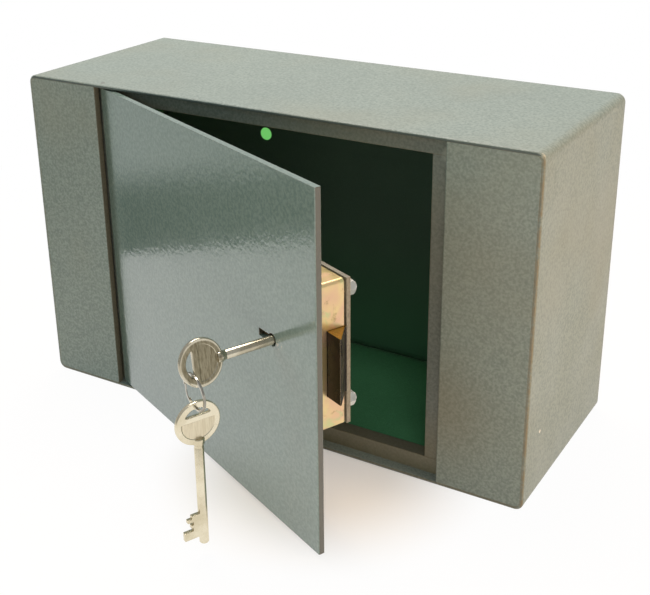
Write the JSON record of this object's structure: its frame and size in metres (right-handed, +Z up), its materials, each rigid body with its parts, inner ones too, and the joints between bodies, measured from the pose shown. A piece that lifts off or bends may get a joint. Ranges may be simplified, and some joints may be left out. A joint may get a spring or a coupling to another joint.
{
  "type": "wall-mounted day safe",
  "caption": "Shallow wall-fixed steel day safe with a felt-lined interior, a pin-hinged plate door and a slam-latching lever lock with keys.",
  "frame": {"origin": "centre of the four wall-fixing holes, on the outside of the back plate", "axes": "+X along the front to the right seen from the front, +Y from the front towards the wall, +Z up"},
  "size_m": [0.457, 0.3474, 0.2776],
  "materials": {
    "enamel": "textured grey-green stove enamel, worn brown along the edges",
    "frame_enamel": "grey-green enamel, thinner and more worn than on the body",
    "door_enamel": "glossy grey-green enamel with slight orange peel",
    "cover_enamel": "satin warm grey paint",
    "green_felt": "green baize",
    "pin_steel": "bare steel",
    "yellow_zinc": "yellow-passivated zinc plating with pink and green iridescence",
    "zinc_fasteners": "bright zinc plating",
    "bolt_steel": "dark case-hardened steel, ground on the bevel",
    "spring_steel": "bright spring wire",
    "lever_brass": "blanked brass",
    "key_nickel": "nickel-plated steel, worn warm"
  },
  "bodies": {
    "root": {"body_wrap": "enamel", "back_plate": "enamel", "cheek_left": "enamel", "cheek_right": "enamel", "frame_top": "frame_enamel", "frame_bottom": "frame_enamel", "frame_left": "frame_enamel", "frame_right": "frame_enamel", "hinge_pins": "pin_steel", "hinge_washer": "pin_steel", "felt_back": "green_felt", "felt_floor": "green_felt", "felt_left": "green_felt", "felt_right": "green_felt"},
    "door": {"door_plate": "door_enamel", "lock_case": "yellow_zinc", "lock_cover": "cover_enamel", "lock_studs": "zinc_fasteners", "lock_pillars": "yellow_zinc", "stud_washers": "zinc_fasteners", "stud_nuts": "zinc_fasteners", "lever_post": "bolt_steel", "bolt_spring": "spring_steel", "spring_anchor": "yellow_zinc", "lever_springs": "spring_steel"},
    "bolt": {"slam_bolt": "bolt_steel"},
    "drawer": {"latch_drawer": "bolt_steel"},
    "levers": {"lever_1": "lever_brass", "lever_2": "lever_brass", "lever_3": "lever_brass", "lever_4": "lever_brass", "lever_5": "lever_brass"},
    "key": {"lock_key": "key_nickel"},
    "ring": {"split_ring": "spring_steel"},
    "spare": {"spare_key": "key_nickel"}
  },
  "joints": [
    {"name": "door_hinge", "type": "hinge", "parent": "root", "child": "door", "pos_m": [-0.1529, -0.1682, 0], "axis": [0, 0, -1], "range_deg": [-24.4, 75.6]},
    {"name": "key_turn", "type": "hinge", "parent": "door", "child": "key", "pos_m": [0.07751, -0.27536, 0.00995], "axis": [-0.4131, -0.9107, 0], "range_deg": [0, 195]},
    {"name": "bolt_slide", "type": "slide", "parent": "door", "child": "bolt", "axis": [-0.9107, 0.4131, 0], "range_m": [0, 0.0146], "stiffness_N_per_m": 300, "springref_m": -0.005, "deforming": ["bolt_spring"]},
    {"name": "drawer_slide", "type": "slide", "parent": "door", "child": "drawer", "axis": [-0.9107, 0.4131, 0], "range_m": [0, 0.0146]},
    {"name": "lever_lift", "type": "hinge", "parent": "door", "child": "levers", "pos_m": [0.0552, -0.26523, 0.03285], "axis": [-0.4131, -0.9107, 0], "range_deg": [0, 7], "deforming": ["lever_springs"]},
    {"name": "ring_swing", "type": "hinge", "parent": "key", "child": "ring", "pos_m": [0.05258, -0.33311, 0.0034], "axis": [0.9107, -0.4131, 0], "range_deg": [-40, 12]},
    {"name": "spare_swing", "type": "hinge", "parent": "ring", "child": "spare", "pos_m": [0.05334, -0.33144, -0.02294], "axis": [0.9107, -0.4131, 0], "range_deg": [-35, 12]}
  ],
  "couplings": [
    {"joint": "bolt_slide", "follows": "key_turn", "m_per_rad": 0.0042898},
    {"joint": "drawer_slide", "follows": "key_turn", "m_per_rad": 0.0042898},
    {"joint": "lever_lift", "follows": "key_turn", "ratio": 0.035897}
  ]
}
